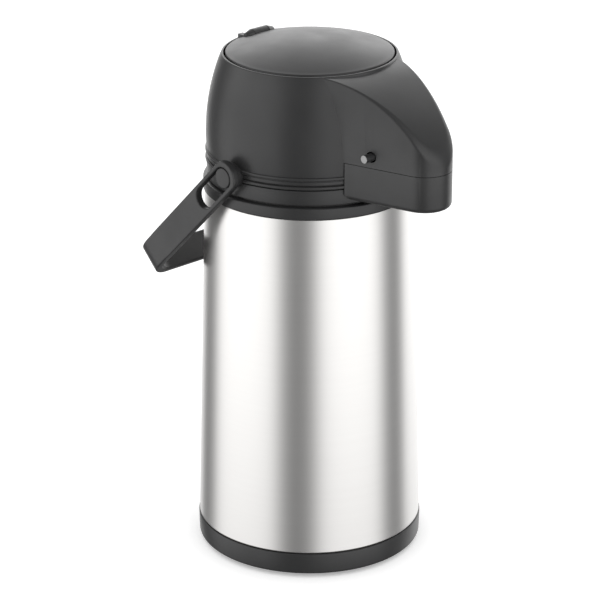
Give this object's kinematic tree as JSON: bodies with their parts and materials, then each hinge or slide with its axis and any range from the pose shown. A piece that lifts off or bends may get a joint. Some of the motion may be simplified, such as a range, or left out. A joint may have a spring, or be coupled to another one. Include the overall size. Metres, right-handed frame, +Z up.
{
  "type": "thermal coffee airpot",
  "caption": "Table-top vacuum airpot with a steel body, push-button pump in a hinged lid, overhanging spout hood, shut-off pin and swinging carry handle.",
  "frame": {"origin": "centre of the base's flat underside", "axes": "+Z up along the body's axis, the spout points to -Y, the handle and the lid turn about X"},
  "size_m": [0.128, 0.1747, 0.2903],
  "materials": {
    "charcoal_plastic": "fine satin moulded texture",
    "inner_plastic": "smooth moulded",
    "brushed_steel": "satin, brushed round the body",
    "bright_metal": "bright drawn wire",
    "silicone_rubber": "soft matt",
    "silvered_glass": "silvered inside the wall"
  },
  "bodies": {
    "body": {"base_ring": "charcoal_plastic", "base_screw_cap": "charcoal_plastic", "liner_cushion": "silicone_rubber", "outer_shell": "brushed_steel", "vacuum_liner": "silvered_glass", "neck_gasket": "silicone_rubber", "neck_funnel": "inner_plastic", "elbow_grommet": "silicone_rubber", "collar": "charcoal_plastic", "siphon_tube": "inner_plastic", "delivery_elbow": "inner_plastic", "valve_body": "inner_plastic", "gooseneck_tube": "inner_plastic", "spout_nozzle": "charcoal_plastic", "head_shell": "charcoal_plastic", "hinge_pin": "bright_metal", "spout_cover": "charcoal_plastic", "cover_screw_left": "bright_metal", "cover_screw_right": "bright_metal"},
    "lid": {"lid_frame": "charcoal_plastic", "lid_stopper": "inner_plastic", "lid_gasket": "silicone_rubber", "outlet_flap": "silicone_rubber", "pump_bellows": "silicone_rubber", "return_spring": "bright_metal"},
    "button": {"press_button": "charcoal_plastic", "plunger_plate": "inner_plastic", "inlet_flap": "silicone_rubber"},
    "pin": {"shutoff_pin": "charcoal_plastic", "pin_seal_left": "silicone_rubber", "pin_seal_right": "silicone_rubber"},
    "handle": {"carry_handle": "charcoal_plastic"}
  },
  "joints": [
    {"name": "handle_swing", "type": "hinge", "parent": "body", "child": "handle", "pos_m": [0, 0, 0.226], "axis": [1, 0, 0], "range_deg": [0, 185]},
    {"name": "lid_hinge", "type": "hinge", "parent": "body", "child": "lid", "pos_m": [0, 0.04, 0.2843], "axis": [-1, 0, 0], "range_deg": [0, 95]},
    {"name": "button_press", "type": "slide", "parent": "lid", "child": "button", "axis": [0, 0, -1], "range_m": [0, 0.018], "stiffness_N_per_m": 350, "springref_m": -0.004, "deforming": ["pump_bellows", "return_spring"]},
    {"name": "pin_slide", "type": "slide", "parent": "body", "child": "pin", "axis": [1, 0, 0], "range_m": [0, 0.0056]}
  ]
}
